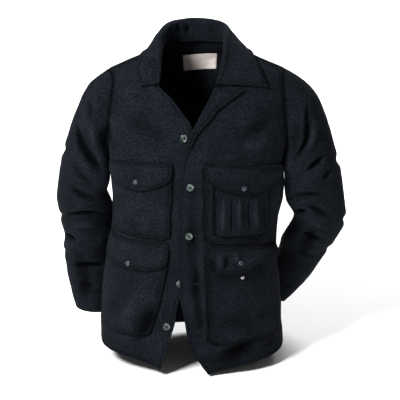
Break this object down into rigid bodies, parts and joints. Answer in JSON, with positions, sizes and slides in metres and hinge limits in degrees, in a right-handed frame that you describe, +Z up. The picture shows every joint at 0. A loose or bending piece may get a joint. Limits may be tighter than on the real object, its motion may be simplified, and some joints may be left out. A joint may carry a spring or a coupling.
{
  "type": "mackinaw jacket",
  "caption": "Heavy wool jacket, buttoned at the chest and open at neck and hem, with turned-down collar, lapel, long sleeves and flapped patch pockets, kept as a hollow filled-out form.",
  "frame": {"origin": "between the shoulder tips, level with them and at mid depth, where the wearer's shoulders carry the jacket", "axes": "+Z up, the front faces -Y, +X is the garment's own left"},
  "size_m": [0.728, 0.3647, 0.8689],
  "materials": {
    "wool": "thick fulled wool with a short nap, near-black navy",
    "button": "marbled dark green four-hole button",
    "snap": "worn dark nickel",
    "label": "plain woven cream tape"
  },
  "bodies": {
    "root": {"front_left": "wool", "front_right": "wool", "back": "wool", "sleeve_left": "wool", "sleeve_right": "wool", "collar": "wool", "facing_left": "wool", "chest_pocket_left": "wool", "chest_pocket_right": "wool", "lower_pocket_left": "wool", "lower_pocket_right": "wool", "pencil_pocket": "wool", "chest_flap_left": "wool", "chest_flap_right": "wool", "lower_flap_left": "wool", "lower_flap_right": "wool", "button_1": "button", "button_2": "button", "button_3": "button", "button_4": "button", "button_5": "button", "chest_snap_left": "snap", "chest_snap_right": "snap", "lower_snap_left": "snap", "lower_snap_right": "snap", "pocket_stud": "snap", "neck_label": "label"}
  },
  "joints": []
}
